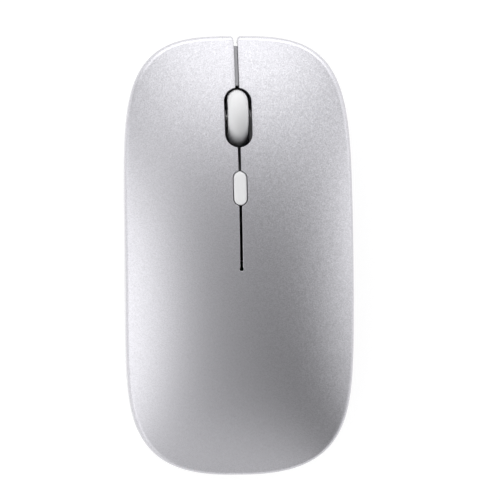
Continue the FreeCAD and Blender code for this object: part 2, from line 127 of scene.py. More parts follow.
def studio_sky():
    """Soft walls on the left, right and in front, two brighter strips, a dim rear; a dark panel
    hangs in the corner of the left and front walls, where they would add up."""
    world = bpy.data.worlds.new("studio")
    world.use_nodes = True
    tree = world.node_tree
    way = tree.nodes.new("ShaderNodeTexCoord").outputs["Generated"]
    left, right, front, rear = (-1, -0.1, 0), (1, 0.3, 0), (0, 1, 0), (0, -1, 0)
    glow = sky_glow(tree, way, left, -0.2, 0.9, 1.2)
    for wall in (
        sky_glow(tree, way, left, 0.8, 1.0, 0.4),
        sky_glow(tree, way, right, 0.1, 1.0, 0.7),
        sky_glow(tree, way, right, 0.8, 1.0, 1.0),
        sky_glow(tree, way, front, 0.5, 1.0, 2.3),
        sky_glow(tree, way, rear, 0.6, 1.0, 0.4),
        sky_glow(tree, way, (-1, 1, 0.6), 0.85, 1.0, -0.9),
    ):
        total = tree.nodes.new("ShaderNodeMath")
        tree.links.new(glow, total.inputs[0])
        tree.links.new(wall, total.inputs[1])
        glow = total.outputs[0]
    height = sky_glow(tree, way, (0, 0, 1), 0.0, FADE_HEIGHT, 1 - LOW_SHARE)
    low = tree.nodes.new("ShaderNodeMath")
    low.inputs[1].default_value = LOW_SHARE
    tree.links.new(height, low.inputs[0])
    lit = tree.nodes.new("ShaderNodeMath")
    lit.operation = "MULTIPLY"
    tree.links.new(glow, lit.inputs[0])
    tree.links.new(low.outputs[0], lit.inputs[1])
    background = tree.nodes["Background"]
    background.inputs["Strength"].default_value = SKY_STRENGTH
    tree.links.new(lit.outputs[0], background.inputs["Color"])
    bpy.context.scene.world = world


studio_sky()
bpy.context.scene.view_settings.view_transform = "Standard"


# --- Camera: nearly straight down, from a little to the left of the mouse --------------------
# A long lens keeps the sides of the cover almost parallel.

CAMERA_LEAN = math.radians(4.22)
CAMERA_DIP = math.radians(-0.87)
CAMERA_ROLL = math.radians(-0.48)
CAMERA_AWAY = 0.91
FRAME_WIDTH = 0.1294
camera_data = bpy.data.cameras.new("camera")
camera_data.lens = camera_data.sensor_width * CAMERA_AWAY / FRAME_WIDTH
camera = bpy.data.objects.new("camera", camera_data)
aim = Vector((0.00305, 0.00142, cad_high.z / 2))
camera.matrix_world = (
    Matrix.Translation(aim)
    @ Matrix.Rotation(-CAMERA_LEAN, 4, "Y")
    @ Matrix.Rotation(CAMERA_DIP, 4, "X")
    @ Matrix.Rotation(CAMERA_ROLL, 4, "Z")
    @ Matrix.Translation((0, 0, CAMERA_AWAY))
)
bpy.context.scene.collection.objects.link(camera)
bpy.context.scene.camera = camera


# --- Cover: one silver-painted moulding, slit into two button fingers ------------------------
# A 1.6 mm plastic shell with a rolled rim; the palm piece and the two fingers meet without a
# seam, because the real cover is one part that bends across its middle.

HALF_W = (cad_high.x - cad_low.x) / 2 / MM
HALF_L = (cad_high.y - cad_low.y) / 2 / MM
FRONT_POWERS = (3.2, 5.2)
REAR_POWERS = (2.6, 5.8)
CREST = (8.0, 17.8, 28.0, 26.0, 26.3, 10.0)
EDGE = (7.6, 13.0, 20.5, 20.5, 17.5, 9.7)
SQUARE_SHARE = 0.55
WALL = 1.6
RIM_ROLL = 1.9
LIP_ROLL = 0.11
PART_END = 5.0
PART_RISE = 3.5
FRONT_SLIT = 0.5
REAR_SLIT = 0.375
RELIEF_Y = -3.25
RELIEF_R = 0.55
WHEEL_Y = 35.6
SLOT_R = 3.55
SLOT_STRAIGHT = 4.2
DPI_Y = 17.35
DPI_R = 1.925
DPI_STRAIGHT = 2.625


def along(heights, y):
    t = (HALF_L - y) / (2 * HALF_L)
    n = len(heights) - 1
    return sum(math.comb(n, i) * t ** i * (1 - t) ** (n - i) * h for i, h in enumerate(heights))


def skin_z(x, y):
    """Height of the cover's outer skin."""
    u = abs(x) / HALF_W
    fall = SQUARE_SHARE * u ** 2 + (1 - SQUARE_SHARE) * u ** 4
    crest = along(CREST, y)
    return crest - (crest - along(EDGE, y)) * fall


def skin_slopes(x, y):
    step = 0.01
    across = (skin_z(x + step, y) - skin_z(x - step, y)) / (2 * step)
    lengthwise = (skin_z(x, y + step) - skin_z(x, y - step)) / (2 * step)
    return across, lengthwise


def skin_normal(x, y):
    across, lengthwise = skin_slopes(x, y)
    return Vector((-across, -lengthwise, 1)).normalized()


def parting_z(y):
    return PART_END + PART_RISE * (1 - (y / HALF_L) ** 2)


def outline_point(angle):
    """Point and outward direction of the cover's plan outline."""
    across, lengthwise = FRONT_POWERS if math.sin(angle) >= 0 else REAR_POWERS
    c = abs(math.cos(angle))
    s = abs(math.sin(angle))
    low, high = 0.5, 2.0
    for _ in range(40):
        r = (low + high) / 2
        if (r * c) ** across + (r * s) ** lengthwise > 1:
            high = r
        else:
            low = r
    x = HALF_W * r * math.cos(angle)
    y = HALF_L * r * math.sin(angle)
    out_x = math.copysign(across / HALF_W * (r * c) ** (across - 1), x)
    out_y = math.copysign(lengthwise / HALF_L * (r * s) ** (lengthwise - 1), y)
    length = math.hypot(out_x, out_y)
    return x, y, out_x / length, out_y / length


def outline_run(first, last, count):
    """Stations (x, y, out_x, out_y, rim share) along the outline, evenly spread."""
    fine = 400
    points = [outline_point(first + (last - first) * k / fine) for k in range(fine + 1)]
    travel = [0.0]
    for a, b in zip(points, points[1:]):
        travel.append(travel[-1] + math.hypot(b[0] - a[0], b[1] - a[1]))
    run = []
    k = 0
    for i in range(count + 1):
        goal = travel[-1] * i / count
        while k < fine - 1 and travel[k + 1] < goal:
            k += 1
        share = (goal - travel[k]) / max(travel[k + 1] - travel[k], 1e-9)
        angle = first + (last - first) * (k + share) / fine
        run.append((*outline_point(angle), 1.0))
    return run


def straight(x, y0, y1, gap):
    count = max(1, round(abs(y1 - y0) / gap))
    return [(x, y0 + (y1 - y0) * k / count) for k in range(1, count)]


def arc(cx, cy, radius, first, last, gap):
    count = max(2, round(abs(last - first) * radius / gap))
    return [(cx + radius * math.cos(first + (last - first) * k / count),
             cy + radius * math.sin(first + (last - first) * k / count)) for k in range(count + 1)]


def eased(before, corner, after, reach):
    """A small round in place of a corner of the path."""
    a = Vector(corner) + (Vector(before) - Vector(corner)).normalized() * reach
    b = Vector(corner) + (Vector(after) - Vector(corner)).normalized() * reach
    steps = 4
    run = []
    for k in range(steps + 1):
        t = k / steps
        run.append(tuple(a * (1 - t) ** 2 + Vector(corner) * 2 * t * (1 - t) + b * t ** 2))
    return run


def finger_edge():
    """The slit side of the left finger, from the relief hole forward to the front end of the slit."""
    quarter = math.pi / 2
    relief_turn = math.asin(REAR_SLIT / RELIEF_R)
    path = arc(0, RELIEF_Y, RELIEF_R, math.pi, quarter + relief_turn, 0.15)
    hole_top = path[-1]
    dpi_turn = math.asin(REAR_SLIT / DPI_R)
    dpi_low = DPI_Y - DPI_STRAIGHT
    dpi_high = DPI_Y + DPI_STRAIGHT
    low_arc = arc(0, dpi_low, DPI_R, -quarter - dpi_turn, -math.pi, 0.3)
    high_arc = arc(0, dpi_high, DPI_R, math.pi, quarter + dpi_turn, 0.3)
    slot_turn = math.asin(REAR_SLIT / SLOT_R)
    front_turn = math.asin(FRONT_SLIT / SLOT_R)
    slot_low = arc(0, WHEEL_Y - SLOT_STRAIGHT, SLOT_R, -quarter - slot_turn, -math.pi, 0.35)
    slot_high = arc(0, WHEEL_Y + SLOT_STRAIGHT, SLOT_R, math.pi, quarter + front_turn, 0.35)
    ease = 0.22
    path += straight(-REAR_SLIT, hole_top[1], low_arc[0][1] - ease, 0.8)
    path += eased((-REAR_SLIT, low_arc[0][1] - 1), low_arc[0], low_arc[1], ease)
    path += low_arc[2:] + straight(-DPI_R, dpi_low, dpi_high, 0.7) + high_arc[:-2]
    path += eased(high_arc[-2], high_arc[-1], (-REAR_SLIT, high_arc[-1][1] + 1), ease)
    path += straight(-REAR_SLIT, high_arc[-1][1] + ease, slot_low[0][1] - ease, 0.7)
    path += eased((-REAR_SLIT, slot_low[0][1] - 1), slot_low[0], slot_low[1], ease)
    path += slot_low[2:] + straight(-SLOT_R, WHEEL_Y - SLOT_STRAIGHT, WHEEL_Y + SLOT_STRAIGHT, 0.7)
    path += slot_high[:-2]
    path += eased(slot_high[-2], slot_high[-1], (-FRONT_SLIT, slot_high[-1][1] + 1), ease)
    path += straight(-FRONT_SLIT, slot_high[-1][1] + ease, HALF_L - 0.9, 0.7)
    return path


def with_directions(path, rim_shares):
    """Adds the outward direction, to the right of travel, at each station of a plan path."""
    run = []
    for i, (x, y) in enumerate(path):
        a = path[max(i - 1, 0)]
        b = path[min(i + 1, len(path) - 1)]
        length = math.hypot(b[0] - a[0], b[1] - a[1])
        run.append((x, y, (b[1] - a[1]) / length, -(b[0] - a[0]) / length, rim_shares[i]))
    return run


def front_corner(last_slit, first_rim):
    """Rounds the corner where the front slit meets the rim."""
    a = Vector(last_slit[:2])
    b = Vector(first_rim[:2])
    corner = Vector((a.x, b.y))
    steps = 8
    run = []
    for k in range(1, steps):
        t = k / steps
        place = a * (1 - t) ** 2 + corner * 2 * t * (1 - t) + b * t ** 2
        out = Vector((1, 0)) * (1 - t) + Vector(first_rim[2:4]) * t
        out.normalize()
        run.append((place.x, place.y, out.x, out.y, t * t * (3 - 2 * t)))
    return run


ROLL_STEPS = 7


def rim_station(station):
    """Points and normals of one section through the edge of the shell, from the skin down and in."""
    x, y, out_x, out_y, share = station
    out = Vector((out_x, out_y, 0))
    roll = LIP_ROLL + (RIM_ROLL - LIP_ROLL) * share
    inset = roll
    for _ in range(3):
        across, lengthwise = skin_slopes(x - out_x * inset, y - out_y * inset)
        lean = math.atan(-(across * out_x + lengthwise * out_y))
        inset = roll * (1 - math.sin(lean))
    start = Vector((x, y, 0)) - out * inset
    start.z = skin_z(start.x, start.y)
    centre_z = start.z - roll * math.cos(lean)
    top_normal = skin_normal(start.x, start.y)
    sideways = top_normal - out * top_normal.dot(out)
    sideways.z = 0
    section = []
    for k in range(ROLL_STEPS + 1):
        turn = lean + (math.pi / 2 - lean) * k / ROLL_STEPS
        place = Vector((x, y, 0)) - out * roll * (1 - math.sin(turn))
        place.z = centre_z + roll * math.cos(turn)
        fade = math.cos(turn) / max(math.cos(lean), 1e-6)
        normal = out * math.sin(turn) + Vector((0, 0, math.cos(turn))) + sideways * fade
        section.append((place, normal.normalized()))
    wall_in = WALL * share
    inner = Vector((x, y, 0)) - out * wall_in
    inner.z = skin_z(inner.x, inner.y) - WALL
    open_front = abs(x) < 1.2 and y > HALF_L - WALL
    low = parting_z(y) if share > 0 or open_front else inner.z
    low = min(low, centre_z - 0.3)
    round_off = 0.15
    down = Vector((0, 0, -1))
    section.append((Vector((x, y, low + round_off)), out))
    if share > 0:
        section.append((Vector((x, y, low)) - out * round_off * share, down))
        section.append((Vector((inner.x, inner.y, low)), down))
    else:
        section.append((Vector((x, y, low)), (down + out).normalized()))
        section.append((Vector((x, y, low)), down))
    inner_normal = -out if share > 0 else -skin_normal(inner.x, inner.y)
    section.append((inner, inner_normal))
    return section


def inside(x, y, loop):
    hit = False
    for (ax, ay), (bx, by) in zip(loop, loop[1:] + loop[:1]):
        if (ay > y) != (by > y) and x < (bx - ax) * (y - ay) / (by - ay) + ax:
            hit = not hit
    return hit


def filling(loop, gap):
    """Evenly spread points inside a plan loop, kept clear of its edge."""
    points = []
    rows = int(2 * HALF_L / (gap * 0.866))
    for row in range(rows + 1):
        y = -HALF_L + row * gap * 0.866
        columns = int(2 * HALF_W / gap) + 1
        for column in range(columns):
            x = -HALF_W + (column + 0.5 * (row % 2)) * gap
            if not inside(x, y, loop):
                continue
            near = min((x - px) ** 2 + (y - py) ** 2 for px, py in loop)
            if near > (0.62 * gap) ** 2:
                points.append((x, y))
    return points


class Shell:
    """Collects points, normals and faces of one closed piece of the cover."""

    def __init__(self):
        self.points = []
        self.normals = []
        self.faces = []

    def add(self, place, normal):
        self.points.append(tuple(place))
        self.normals.append(tuple(normal))
        return len(self.points) - 1

    def sheet(self, loop, fill, drop, flip):
        """A triangulated sheet that follows the skin; loop holds indices of points already added."""
        plan = [Vector(self.points[i][:2]) for i in loop] + [Vector(p) for p in fill]
        found = delaunay_2d_cdt(plan, [], [list(range(len(loop)))], 1, 1e-5)
        made, triangles, origins = found[0], found[2], found[3]
        index = {}
        for k, place in enumerate(made):
            source = origins[k][0] if origins[k] else None
            if source is not None and source < len(loop):
                index[k] = loop[source]
            else:
                normal = skin_normal(place.x, place.y)
                if flip:
                    normal = -normal
                index[k] = self.add((place.x, place.y, skin_z(place.x, place.y) - drop), normal)
        for triangle in triangles:
            face = [index[k] for k in triangle]
            self.faces.append(face[::-1] if flip else face)

    def strip(self, rings, closed):
        """Quads between neighbouring sections of the rim."""
        pairs = list(zip(rings, rings[1:]))
        if closed:
            pairs.append((rings[-1], rings[0]))
        for a, b in pairs:
            for k in range(len(a) - 1):
                face = [a[k], a[k + 1], b[k + 1], b[k]]
                kept = [v for n, v in enumerate(face) if self.points[v] != self.points[face[n - 1]]]
                if len(kept) > 2:
                    self.faces.append(kept)


def seam_run(x0, x1):
    count = max(1, round(abs(x1 - x0) / 1.1))
    return [(x0 + (x1 - x0) * k / count, RELIEF_Y) for k in range(1, count)]


def cover_piece(name, runs, material):
    """Builds one closed piece from its edge runs; neighbouring runs are joined by straight seams."""
    shell = Shell()
    top_loop = []
    low_loop = []
    gap = 1.1
    sections = []
    for run in runs:
        rings = [[shell.add(*pair) for pair in rim_station(station)] for station in run]
        shell.strip(rings, False)
        sections.append(rings)
    for k, rings in enumerate(sections):
        top_loop += [ring[0] for ring in rings]
        low_loop += [ring[-1] for ring in rings]
        after = sections[(k + 1) % len(sections)]
        for loop, drop, ends in ((top_loop, 0, (rings[-1][0], after[0][0])),
                                 (low_loop, WALL, (rings[-1][-1], after[0][-1]))):
            xs = [shell.points[end][0] for end in ends]
            sign = -1 if drop else 1
            for x, y in seam_run(*xs):
                loop.append(shell.add((x, y, skin_z(x, y) - drop), sign * skin_normal(x, y)))
    for loop, drop in ((top_loop, 0), (low_loop, WALL)):
        plan = [shell.points[i][:2] for i in loop]
        shell.sheet(loop, filling(plan, gap), drop, drop > 0)
    piece = make_mesh(name, shell.points, shell.faces, material)
    close_seams(piece, shell.normals)
    return piece


def close_seams(piece, normals):
    """Closes the cut ends of a cover piece, then gives it the shading of the exact surface."""
    mesh = piece.data
    work = bmesh.new()
    work.from_mesh(mesh)
    work.verts.ensure_lookup_table()
    open_edges = [e for e in work.edges if len(e.link_faces) == 1]
    filled = bmesh.ops.holes_fill(work, edges=open_edges, sides=0)["faces"]
    bmesh.ops.triangulate(work, faces=filled)
    for face in filled:
        if face.is_valid:
            face.smooth = True
    loose = [v for v in work.verts if not v.link_faces]
    kept = [n for v, n in zip(work.verts, normals) if v.link_faces]
    bmesh.ops.delete(work, geom=loose, context="VERTS")
    work.to_mesh(mesh)
    work.free()
    mesh.normals_split_custom_set_from_vertices(kept)


def flake_group():
    """Metal flakes set in paint: a cell pattern with its own brightness and tilt in each flake."""
    group = bpy.data.node_groups.new("metal_flakes", "ShaderNodeTree")
    face = group.interface
    for name, kind, value in (("Colour", "NodeSocketColor", (0.6, 0.6, 0.6, 1)),
                              ("Flake Size", "NodeSocketFloat", 0.0002),
                              ("Sparkle", "NodeSocketFloat", 0.1), ("Tilt", "NodeSocketFloat", 0.05)):
        face.new_socket(name, in_out="INPUT", socket_type=kind).default_value = value
    for name, kind in (("Colour", "NodeSocketColor"), ("Normal", "NodeSocketVector")):
        face.new_socket(name, in_out="OUTPUT", socket_type=kind)
    nodes = group.nodes
    given = nodes.new("NodeGroupInput")
    result = nodes.new("NodeGroupOutput")
    place = nodes.new("ShaderNodeTexCoord")
    scale = add_math(group, "DIVIDE", 1.0, given.outputs["Flake Size"])
    cells = nodes.new("ShaderNodeTexVoronoi")
    group.links.new(place.outputs["Object"], cells.inputs["Vector"])
    group.links.new(scale, cells.inputs["Scale"])
    parts = nodes.new("ShaderNodeSeparateColor")
    group.links.new(cells.outputs["Color"], parts.inputs[0])
    centred = add_math(group, "SUBTRACT", parts.outputs[0], 0.5)
    shift = add_math(group, "MULTIPLY_ADD", centred, given.outputs["Sparkle"], 1.0)
    tinted = nodes.new("ShaderNodeVectorMath")
    tinted.operation = "SCALE"
    group.links.new(given.outputs["Colour"], tinted.inputs[0])
    group.links.new(shift, tinted.inputs["Scale"])
    group.links.new(tinted.outputs[0], result.inputs["Colour"])
    lean = nodes.new("ShaderNodeVectorMath")
    lean.operation = "SUBTRACT"
    lean.inputs[1].default_value = (0.5, 0.5, 0.5)
    group.links.new(cells.outputs["Color"], lean.inputs[0])
    surface = nodes.new("ShaderNodeNewGeometry")
    sway = nodes.new("ShaderNodeVectorMath")
    sway.operation = "MULTIPLY_ADD"
    group.links.new(lean.outputs[0], sway.inputs[0])
    group.links.new(given.outputs["Tilt"], sway.inputs[1])
    group.links.new(surface.outputs["Normal"], sway.inputs[2])
    unit = nodes.new("ShaderNodeVectorMath")
    unit.operation = "NORMALIZE"
    group.links.new(sway.outputs[0], unit.inputs[0])
    group.links.new(unit.outputs[0], result.inputs["Normal"])
    return group


def add_math(tree, operation, *values):
    """A Math node fed by sockets or numbers; returns its result socket."""
    node = tree.nodes.new("ShaderNodeMath")
    node.operation = operation
    for socket, value in zip(node.inputs, values):
        if isinstance(value, (int, float)):
            socket.default_value = value
        else:
            tree.links.new(value, socket)
    return node.outputs[0]


def place_group(tree, group, **values):
    node = tree.nodes.new("ShaderNodeGroup")
    node.node_tree = group
    for name, value in values.items():
        node.inputs[name.replace("_", " ")].default_value = value
    return node


def silver_paint():
    """Satin silver with fine flakes under a thin clear coat."""
    material, tree, shader = new_material("silver_paint")
    flakes = place_group(tree, flake_group(), Colour=(0.60, 0.595, 0.63, 1),
                         Flake_Size=0.0002, Sparkle=0.24, Tilt=0.07)
    tree.links.new(flakes.outputs["Colour"], shader.inputs["Base Color"])
    tree.links.new(flakes.outputs["Normal"], shader.inputs["Normal"])
    shader.inputs["Metallic"].default_value = 0.9
    shader.inputs["Roughness"].default_value = 0.42
    shader.inputs["Coat Weight"].default_value = 0.6
    shader.inputs["Coat Roughness"].default_value = 0.12
    return material


def cover():
    """The palm piece and the two fingers, left and right of the slits."""
    paint = silver_paint()
    slit_path = finger_edge()
    slit = with_directions(slit_path, [0.0] * len(slit_path))
    front_angle = math.acos(0.0)
    fine = [outline_point(front_angle + k * 0.002) for k in range(200)]
    start = next(k for k, p in enumerate(fine) if p[0] < -FRONT_SLIT - 0.9)
    seam_angle = math.pi + seam_offset()
    rim = outline_run(front_angle + start * 0.002, seam_angle, 84)
    left_run = slit + front_corner(slit[-1], rim[0]) + rim
    right_run = [(-x, y, -out_x, out_y, share) for x, y, out_x, out_y, share in reversed(left_run)]
    hole = arc(0, RELIEF_Y, RELIEF_R, 0, -math.pi, 0.15)
    hole_run = [(x, y, -x / RELIEF_R, (RELIEF_Y - y) / RELIEF_R, 0.0) for x, y in reversed(hole)]
    rear = outline_run(math.pi + seam_offset(), 2 * math.pi - seam_offset(), 130)
    palm = cover_piece("cover_palm", [rear, hole_run[::-1]], paint)
    left = cover_piece("cover_left_finger", [left_run], paint)
    right = cover_piece("cover_right_finger", [right_run], paint)
    return palm, left, right


def seam_offset():
    """How far past the half turn the outline comes down to the seam's line."""
    low, high = 0.0, 0.5
    for _ in range(40):
        middle = (low + high) / 2
        if outline_point(math.pi + middle)[1] > RELIEF_Y:
            low = middle
        else:
            high = middle
    return low


palm, left_finger, right_finger = cover()
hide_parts("palm_cover")
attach(palm, "root")
for finger, node, body in ((left_finger, "left_button", "left_finger"),
                           (right_finger, "right_button", "right_finger")):
    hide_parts(node)
    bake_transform(finger)


# --- Base: a pale grey plastic tray under the cover -------------------------------------------
# Moulded in one piece with bosses for the case screws and a block for the charging port; its wall
# tapers in towards the desk. The label and screw heads sit in shallow recesses.

def grain_group():
    """Moulded or worn surface: fine grain as height, and slow blotches in colour and roughness."""
    group = bpy.data.node_groups.new("surface_grain", "ShaderNodeTree")
    for name, kind, value in (("Colour", "NodeSocketColor", (0.5, 0.5, 0.5, 1)),
                              ("Colour Shift", "NodeSocketFloat", 0.04),
                              ("Roughness", "NodeSocketFloat", 0.4),
                              ("Roughness Shift", "NodeSocketFloat", 0.1),
                              ("Grain Size", "NodeSocketFloat", 0.0001),
                              ("Blotch Size", "NodeSocketFloat", 0.004),
                              ("Stretch", "NodeSocketVector", (1, 1, 1))):
        group.interface.new_socket(name, in_out="INPUT", socket_type=kind).default_value = value
    for name, kind in (("Colour", "NodeSocketColor"), ("Roughness", "NodeSocketFloat"),
                       ("Height", "NodeSocketFloat")):
        group.interface.new_socket(name, in_out="OUTPUT", socket_type=kind)
    nodes = group.nodes
    given = nodes.new("NodeGroupInput")
    result = nodes.new("NodeGroupOutput")
    place = nodes.new("ShaderNodeTexCoord")
    stretched = nodes.new("ShaderNodeVectorMath")
    stretched.operation = "MULTIPLY"
    group.links.new(place.outputs["Object"], stretched.inputs[0])
    group.links.new(given.outputs["Stretch"], stretched.inputs[1])
    values = []
    for size in ("Grain Size", "Blotch Size"):
        noise = nodes.new("ShaderNodeTexNoise")
        noise.inputs["Detail"].default_value = 3.0
        group.links.new(stretched.outputs[0], noise.inputs["Vector"])
        group.links.new(add_math(group, "DIVIDE", 1.0, given.outputs[size]), noise.inputs["Scale"])
        values.append(noise.outputs[0])
    fine, slow = values
    blend = add_math(group, "MULTIPLY_ADD", fine, 0.35, slow)
    centred = add_math(group, "SUBTRACT", blend, 0.675)
    bright = add_math(group, "MULTIPLY_ADD", centred, given.outputs["Colour Shift"], 1.0)
    tinted = nodes.new("ShaderNodeVectorMath")
    tinted.operation = "SCALE"
    group.links.new(given.outputs["Colour"], tinted.inputs[0])
    group.links.new(bright, tinted.inputs["Scale"])
    group.links.new(tinted.outputs[0], result.inputs["Colour"])
    rough = add_math(group, "MULTIPLY_ADD", centred,
                     given.outputs["Roughness Shift"], given.outputs["Roughness"])
    group.links.new(rough, result.inputs["Roughness"])
    group.links.new(fine, result.inputs["Height"])
    return group


SURFACE_GRAIN = grain_group()


def grained(name, colour, roughness, grain=0.0001, depth=0.000004, shader_values=None, **values):
    """A material of plain colour with the fine relief and blotches of a real moulded or rolled face."""
    material, tree, shader = new_material(name)
    node = place_group(tree, SURFACE_GRAIN, Colour=(*colour, 1), Roughness=roughness,
                       Grain_Size=grain, **values)
    bump = tree.nodes.new("ShaderNodeBump")
    bump.inputs["Distance"].default_value = depth
    tree.links.new(node.outputs["Height"], bump.inputs["Height"])
    for source, socket in ((node.outputs["Colour"], "Base Color"), (node.outputs["Roughness"], "Roughness"),
                           (bump.outputs["Normal"], "Normal")):
        tree.links.new(source, shader.inputs[socket])
    for socket, value in (shader_values or {}).items():
        shader.inputs[socket].default_value = value
    return material


def rounded_plan(width, length, radius, x, y, steps=10):
    """Plan outline of a round-cornered rectangle, counter-clockwise."""
    points = []
    for turn, (side, end) in enumerate(((1, 1), (-1, 1), (-1, -1), (1, -1))):
        for k in range(steps + 1):
            angle = math.pi / 2 * (turn + k / steps)
            points.append((x + side * (width / 2 - radius) + radius * math.cos(angle),
                           y + end * (length / 2 - radius) + radius * math.sin(angle)))
    return points


def stacked(rings):
    """Points and faces of a closed solid through rings of equal count, lowest first."""
    count = len(rings[0])
    points = [p for ring in rings for p in ring]
    faces = [list(range(count))[::-1], list(range((len(rings) - 1) * count, len(rings) * count))]
    for level in range(len(rings) - 1):
        low = level * count
        for k in range(count):
            after = (k + 1) % count
            faces.append([low + k, low + after, low + count + after, low + count + k])
    return points, faces


def plate(width, length, radius, x, y, layers, steps=10):
    """Closed round-cornered plate; each layer is a height and how far its outline is drawn in."""
    rings = []
    for z, inset in layers:
        plan = rounded_plan(width - 2 * inset, length - 2 * inset, max(radius - inset, 0.02), x, y, steps)
        rings.append([(px, py, z) for px, py in plan])
    return stacked(rings)


def combined(solids):
    points = []
    faces = []
    for solid_points, solid_faces in solids:
        start = len(points)
        points += solid_points
        faces += [[start + i for i in face] for face in solid_faces]
    return points, faces


def merged(piece, solids, operation):
    """Adds the closed solids to the piece's mesh, or cuts them out of it."""
    tool = make_mesh("tool", *combined(solids), piece.data.materials[0])
    change = piece.modifiers.new("change", "BOOLEAN")
    change.operation = operation
    change.solver = "EXACT"
    change.use_self = True
    change.object = tool
    old = piece.data
    piece.data = bpy.data.meshes.new_from_object(piece.evaluated_get(bpy.context.evaluated_depsgraph_get()))
    piece.modifiers.clear()
    bpy.data.objects.remove(tool)
    bpy.data.meshes.remove(old)


def crease(piece, degrees):
    """Smooth shading, kept crisp where faces meet at more than the angle."""
    piece.data.polygons.foreach_set("use_smooth", [True] * len(piece.data.polygons))
    piece.data.set_sharp_from_angle(angle=math.radians(degrees))


FOOT_T = 0.6
FLOOR = 2.2
BASE_LIP = 0.6
BASE_WALL = 1.6
PORT_Z = 4.0
PORT_FRONT = 53.4
PORT_D = 7.3
CASE_SCREWS = ((-17.5, -38.0), (17.5, -38.0), (-17.5, -2.0), (17.5, -2.0))
SLIDER_X = -11.0
SLIDER_Y = 6.0
SENSOR_Y = 3.0
LABEL_Y = -22.0


def base_inset(z):
    """How far the base's wall stands in from the cover's outline."""
    rise = min(max((z - FOOT_T) / 8.4, 0), 1)
    return 2.0 + 5.0 * (1 - rise) ** 2.9


def base_ring(share, wall, bottom):
    ring = []
    for x, y in BASE_OUTLINE:
        top = parting_z(y) + BASE_LIP
        z = bottom + (top - bottom) * share
        inset = base_inset(z) + wall
        ring.append((x * (HALF_W - inset) / HALF_W, y * (HALF_L - inset) / HALF_L, z))
    return ring


def port_bar(width, height, y0, y1):
    """Round-ended bar along the depth of the charging port."""
    plan = rounded_plan(width, height, height / 2 - 0.01, 0, 0)
    return stacked([[(x, y, PORT_Z + z) for x, z in plan] for y in (y1, y0)])


def nose_rib(half_width, depth):
    """Upright rib behind the front slit; its top stays the given depth under the skin."""
    rows = [44.0 + 10.4 * k / 12 for k in range(13)]
    sections = []
    for y in rows:
        top = skin_z(0, y) - depth
        sections.append([(-half_width, y, 5.9), (half_width, y, 5.9),
                         (half_width, y, top), (-half_width, y, top)])
    return stacked(sections[::-1])


shares = [(k / 16) ** 1.6 for k in range(17)]
BASE_OUTLINE = [(x, y) for x, y, *_ in outline_run(0, math.pi, 110)[:-1]
                + outline_run(math.pi, 2 * math.pi, 110)[:-1]]
base_rings = [base_ring(share, 0, FOOT_T) for share in shares]
base_rings += [base_ring(share, BASE_WALL, FLOOR) for share in reversed(shares)]
pale_plastic = grained("pale_base_plastic", (0.52, 0.52, 0.54), 0.42, grain=0.00035, depth=0.00001,
                       Colour_Shift=0.05)
base_tray = make_mesh("base_tray", *stacked(base_rings), pale_plastic)
bosses = [plate(5.4, 5.4, 2.7, x, y, ((FOOT_T + 0.2, 0), (5.95, 0))) for x, y in CASE_SCREWS]
port_block = plate(12.8, PORT_D + 1.0, 0.4, 0, PORT_FRONT - PORT_D / 2 - 0.5,
                   ((FOOT_T + 0.3, 0), (6.3, 0)), 3)
merged(base_tray, [*bosses, port_block, nose_rib(1.5, 2.6), nose_rib(0.4, 1.15)], "UNION")
cuts = [plate(4.2, 4.2, 2.1, x, y, ((-1, 0), (FLOOR, 0))) for x, y in CASE_SCREWS]
cuts += [plate(2.3, 2.3, 1.15, x, y, ((1.5, 0), (7, 0))) for x, y in CASE_SCREWS]
cuts.append(plate(7.6, 3.4, 0.6, SLIDER_X, SLIDER_Y, ((-1, 0), (FLOOR + 0.5, 0)), 4))
cuts.append(plate(7.4, 5.4, 1.5, 0, SENSOR_Y, ((-1, 0), (FLOOR + 0.5, 0))))
cuts.append(plate(30.4, 12.4, 2.2, 0, LABEL_Y, ((-1, 0), (FOOT_T + 0.3, 0))))
cuts.append(port_bar(9.04, 3.3, PORT_FRONT - PORT_D, HALF_L))
merged(base_tray, cuts, "DIFFERENCE")
crease(base_tray, 20)
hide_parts("base_shell")
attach(base_tray, "root")


# --- Scroll wheel: a pale soft tyre on a spoked hub -------------------------------------------
# The tyre is rubber moulded on to the plastic hub; a steel axle carries both in the carrier.

WHEEL_Z = 11.7
WHEEL_R = 7.3
WHEEL_W = 5.2
HUB_R = 5.0
TREAD_CROWN = 1.9


def dress(material, *nodes):
    """Gives finished parts their material."""
    for node in nodes:
        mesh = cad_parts[node].data
        mesh.materials.clear()
        mesh.materials.append(material)


def tyre_profile():
    """Cross section (x, radius): full round tread, eased shoulders and a straight bore."""
    half = WHEEL_W / 2
    bend = (half ** 2 + TREAD_CROWN ** 2) / (2 * TREAD_CROWN)
    tread = []
    for k in range(-16, 17):
        x = (half - 0.02) * math.sin(math.pi / 2 * k / 16)
        tread.append((x, WHEEL_R - bend + math.sqrt(bend ** 2 - x ** 2)))
    return tread + [(half, HUB_R + 0.1), (half - 0.1, HUB_R + 0.01),
                    (-half + 0.1, HUB_R + 0.01), (-half, HUB_R + 0.1)]


def tyre():
    profile = tyre_profile()
    count = 120
    points = []
    for k in range(count):
        turn = 2 * math.pi * k / count
        points += [(x, WHEEL_Y + r * math.sin(turn), WHEEL_Z + r * math.cos(turn)) for x, r in profile]
    faces = []
    size = len(profile)
    for k in range(count):
        after = (k + 1) % count
        for i in range(size):
            j = (i + 1) % size
            faces.append([k * size + i, after * size + i, after * size + j, k * size + j])
    piece = make_mesh("tyre", points, faces, soft_white)
    crease(piece, 50)
    return piece


